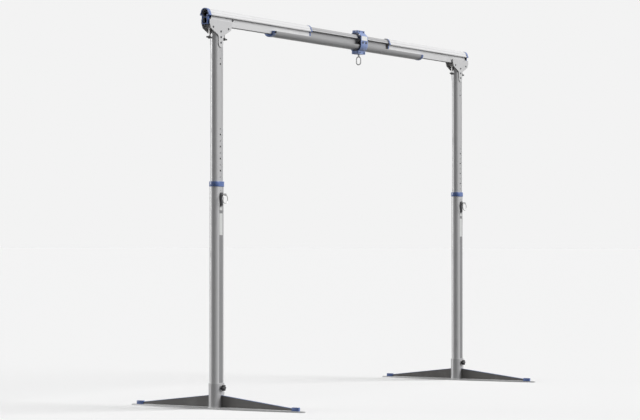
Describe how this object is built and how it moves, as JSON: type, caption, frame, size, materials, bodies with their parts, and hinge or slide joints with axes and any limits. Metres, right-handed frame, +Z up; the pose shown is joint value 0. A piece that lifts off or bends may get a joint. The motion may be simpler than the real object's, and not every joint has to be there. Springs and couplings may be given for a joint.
{
  "type": "portable gantry crane",
  "caption": "Free-standing aluminium lifting gantry with a telescopic beam, height-adjustable uprights on long flat feet, and a beam trolley with a swivel eye.",
  "frame": {"origin": "on the floor, under the middle of the beam", "axes": "+X along the beam to the right seen from the front, +Y from front to back, +Z up"},
  "size_m": [3.55, 1.29, 2.507],
  "materials": {
    "aluminium_extrusion": "satin mill finish",
    "blue_coat": "semi-gloss powder coat",
    "black_plastic": "fine grained",
    "bright_steel": "brushed stainless",
    "dark_bolts": "dark zinc plate"
  },
  "bodies": {
    "centre": {"centre_beam": "aluminium_extrusion", "sleeve_end_left": "blue_coat", "sleeve_end_right": "blue_coat"},
    "trolley": {"trolley_front": "blue_coat", "trolley_rear": "blue_coat", "trolley_bolts": "dark_bolts", "trolley_axles": "dark_bolts"},
    "load_eye": {"swivel_eye": "bright_steel"},
    "wheel_front_left": {"trolley_wheel_front_left": "black_plastic"},
    "wheel_front_right": {"trolley_wheel_front_right": "black_plastic"},
    "wheel_rear_left": {"trolley_wheel_rear_left": "black_plastic"},
    "wheel_rear_right": {"trolley_wheel_rear_right": "black_plastic"},
    "left_end": {"end_beam_left": "aluminium_extrusion", "end_cap_left": "blue_coat", "beam_trim_left": "blue_coat", "stop_bolt_left": "dark_bolts", "head_plate_front_left": "aluminium_extrusion", "head_plate_rear_left": "aluminium_extrusion", "head_saddle_left": "aluminium_extrusion", "head_bolts_left": "dark_bolts", "upright_inner_left": "aluminium_extrusion"},
    "left_leg": {"upright_outer_left": "aluminium_extrusion", "collar_left": "blue_coat", "lock_housing_left": "bright_steel", "foot_base_left": "aluminium_extrusion", "foot_socket_left": "aluminium_extrusion", "foot_gussets_left": "aluminium_extrusion", "foot_trims_left": "blue_coat"},
    "span_screw_left": {"span_screw_left": "black_plastic"},
    "clamp_screw_left_outer": {"clamp_screw_left_outer": "black_plastic"},
    "clamp_nut_left_outer": {"clamp_nut_left_outer": "dark_bolts"},
    "clamp_screw_left_inner": {"clamp_screw_left_inner": "black_plastic"},
    "clamp_nut_left_inner": {"clamp_nut_left_inner": "dark_bolts"},
    "lock_pin_left": {"lock_pin_left": "bright_steel"},
    "pull_ring_left": {"pull_ring_left": "bright_steel"},
    "foot_knob_left": {"foot_knob_left": "black_plastic"},
    "right_end": {"end_beam_right": "aluminium_extrusion", "end_cap_right": "blue_coat", "beam_trim_right": "blue_coat", "stop_bolt_right": "dark_bolts", "head_plate_front_right": "aluminium_extrusion", "head_plate_rear_right": "aluminium_extrusion", "head_saddle_right": "aluminium_extrusion", "head_bolts_right": "dark_bolts", "upright_inner_right": "aluminium_extrusion"},
    "right_leg": {"upright_outer_right": "aluminium_extrusion", "collar_right": "blue_coat", "lock_housing_right": "bright_steel", "foot_base_right": "aluminium_extrusion", "foot_socket_right": "aluminium_extrusion", "foot_gussets_right": "aluminium_extrusion", "foot_trims_right": "blue_coat"},
    "span_screw_right": {"span_screw_right": "black_plastic"},
    "clamp_screw_right_outer": {"clamp_screw_right_outer": "black_plastic"},
    "clamp_nut_right_outer": {"clamp_nut_right_outer": "dark_bolts"},
    "clamp_screw_right_inner": {"clamp_screw_right_inner": "black_plastic"},
    "clamp_nut_right_inner": {"clamp_nut_right_inner": "dark_bolts"},
    "lock_pin_right": {"lock_pin_right": "bright_steel"},
    "pull_ring_right": {"pull_ring_right": "bright_steel"},
    "foot_knob_right": {"foot_knob_right": "black_plastic"}
  },
  "joints": [
    {"name": "trolley_travel", "type": "slide", "parent": "centre", "child": "trolley", "axis": [1, 0, 0], "range_m": [-1.085, 0.805]},
    {"name": "eye_swivel", "type": "hinge", "parent": "trolley", "child": "load_eye", "pos_m": [0.141, 0, 2.31], "axis": [0, 0, 1], "continuous": true},
    {"name": "wheel_front_left_turn", "type": "hinge", "parent": "trolley", "child": "wheel_front_left", "pos_m": [0.119, -0.0295, 2.4218], "axis": [0, 1, 0], "continuous": true},
    {"name": "wheel_front_right_turn", "type": "hinge", "parent": "trolley", "child": "wheel_front_right", "pos_m": [0.163, -0.0295, 2.4218], "axis": [0, 1, 0], "continuous": true},
    {"name": "wheel_rear_left_turn", "type": "hinge", "parent": "trolley", "child": "wheel_rear_left", "pos_m": [0.119, 0.0295, 2.4218], "axis": [0, 1, 0], "continuous": true},
    {"name": "wheel_rear_right_turn", "type": "hinge", "parent": "trolley", "child": "wheel_rear_right", "pos_m": [0.163, 0.0295, 2.4218], "axis": [0, 1, 0], "continuous": true},
    {"name": "left_span", "type": "slide", "parent": "centre", "child": "left_end", "axis": [-1, 0, 0], "range_m": [-0.45, 0.25]},
    {"name": "left_height", "type": "slide", "parent": "left_end", "child": "left_leg", "axis": [0, 0, -1], "range_m": [-0.815, 0.3]},
    {"name": "span_screw_left_turn", "type": "hinge", "parent": "centre", "child": "span_screw_left", "pos_m": [-1.0175, -0.03, 2.398], "axis": [0, -1, 0], "range_deg": [0, 720]},
    {"name": "clamp_screw_left_outer_turn", "type": "hinge", "parent": "left_end", "child": "clamp_screw_left_outer", "pos_m": [-1.727, 0, 2.36], "axis": [0, 0, 1], "range_deg": [0, 720]},
    {"name": "clamp_nut_left_outer_rise", "type": "slide", "parent": "left_end", "child": "clamp_nut_left_outer", "axis": [0, 0, 1], "range_m": [0, 0.004]},
    {"name": "clamp_screw_left_inner_turn", "type": "hinge", "parent": "left_end", "child": "clamp_screw_left_inner", "pos_m": [-1.559, 0, 2.36], "axis": [0, 0, 1], "range_deg": [0, 720]},
    {"name": "clamp_nut_left_inner_rise", "type": "slide", "parent": "left_end", "child": "clamp_nut_left_inner", "axis": [0, 0, 1], "range_m": [0, 0.004]},
    {"name": "lock_pin_left_travel", "type": "slide", "parent": "left_leg", "child": "lock_pin_left", "axis": [0, 1, 0], "range_m": [0, 0.012]},
    {"name": "pull_ring_left_swing", "type": "hinge", "parent": "lock_pin_left", "child": "pull_ring_left", "pos_m": [-1.643, -0.0639, 1.331], "axis": [-1, 0, 0], "range_deg": [0, 100]},
    {"name": "foot_knob_left_turn", "type": "hinge", "parent": "left_leg", "child": "foot_knob_left", "pos_m": [-1.643, -0.05, 0.131], "axis": [0, -1, 0], "range_deg": [0, 720]},
    {"name": "right_span", "type": "slide", "parent": "centre", "child": "right_end", "axis": [1, 0, 0], "range_m": [-0.45, 0.25]},
    {"name": "right_height", "type": "slide", "parent": "right_end", "child": "right_leg", "axis": [0, 0, -1], "range_m": [-0.815, 0.3]},
    {"name": "span_screw_right_turn", "type": "hinge", "parent": "centre", "child": "span_screw_right", "pos_m": [1.0175, 0.03, 2.398], "axis": [0, 1, 0], "range_deg": [0, 720]},
    {"name": "clamp_screw_right_outer_turn", "type": "hinge", "parent": "right_end", "child": "clamp_screw_right_outer", "pos_m": [1.727, 0, 2.36], "axis": [0, 0, 1], "range_deg": [0, 720]},
    {"name": "clamp_nut_right_outer_rise", "type": "slide", "parent": "right_end", "child": "clamp_nut_right_outer", "axis": [0, 0, 1], "range_m": [0, 0.004]},
    {"name": "clamp_screw_right_inner_turn", "type": "hinge", "parent": "right_end", "child": "clamp_screw_right_inner", "pos_m": [1.559, 0, 2.36], "axis": [0, 0, 1], "range_deg": [0, 720]},
    {"name": "clamp_nut_right_inner_rise", "type": "slide", "parent": "right_end", "child": "clamp_nut_right_inner", "axis": [0, 0, 1], "range_m": [0, 0.004]},
    {"name": "lock_pin_right_travel", "type": "slide", "parent": "right_leg", "child": "lock_pin_right", "axis": [0, 1, 0], "range_m": [0, 0.012]},
    {"name": "pull_ring_right_swing", "type": "hinge", "parent": "lock_pin_right", "child": "pull_ring_right", "pos_m": [1.643, -0.0639, 1.331], "axis": [-1, 0, 0], "range_deg": [0, 100]},
    {"name": "foot_knob_right_turn", "type": "hinge", "parent": "right_leg", "child": "foot_knob_right", "pos_m": [1.643, -0.05, 0.131], "axis": [0, -1, 0], "range_deg": [0, 720]}
  ],
  "couplings": [
    {"joint": "wheel_front_left_turn", "follows": "trolley_travel", "rad_per_m": 64.516},
    {"joint": "wheel_front_right_turn", "follows": "trolley_travel", "rad_per_m": 64.516},
    {"joint": "wheel_rear_left_turn", "follows": "trolley_travel", "rad_per_m": 64.516},
    {"joint": "wheel_rear_right_turn", "follows": "trolley_travel", "rad_per_m": 64.516},
    {"joint": "clamp_screw_left_outer_turn", "follows": "clamp_nut_left_outer_rise", "rad_per_m": 3141.6},
    {"joint": "clamp_screw_left_inner_turn", "follows": "clamp_nut_left_inner_rise", "rad_per_m": 3141.6},
    {"joint": "clamp_screw_right_outer_turn", "follows": "clamp_nut_right_outer_rise", "rad_per_m": 3141.6},
    {"joint": "clamp_screw_right_inner_turn", "follows": "clamp_nut_right_inner_rise", "rad_per_m": 3141.6}
  ]
}
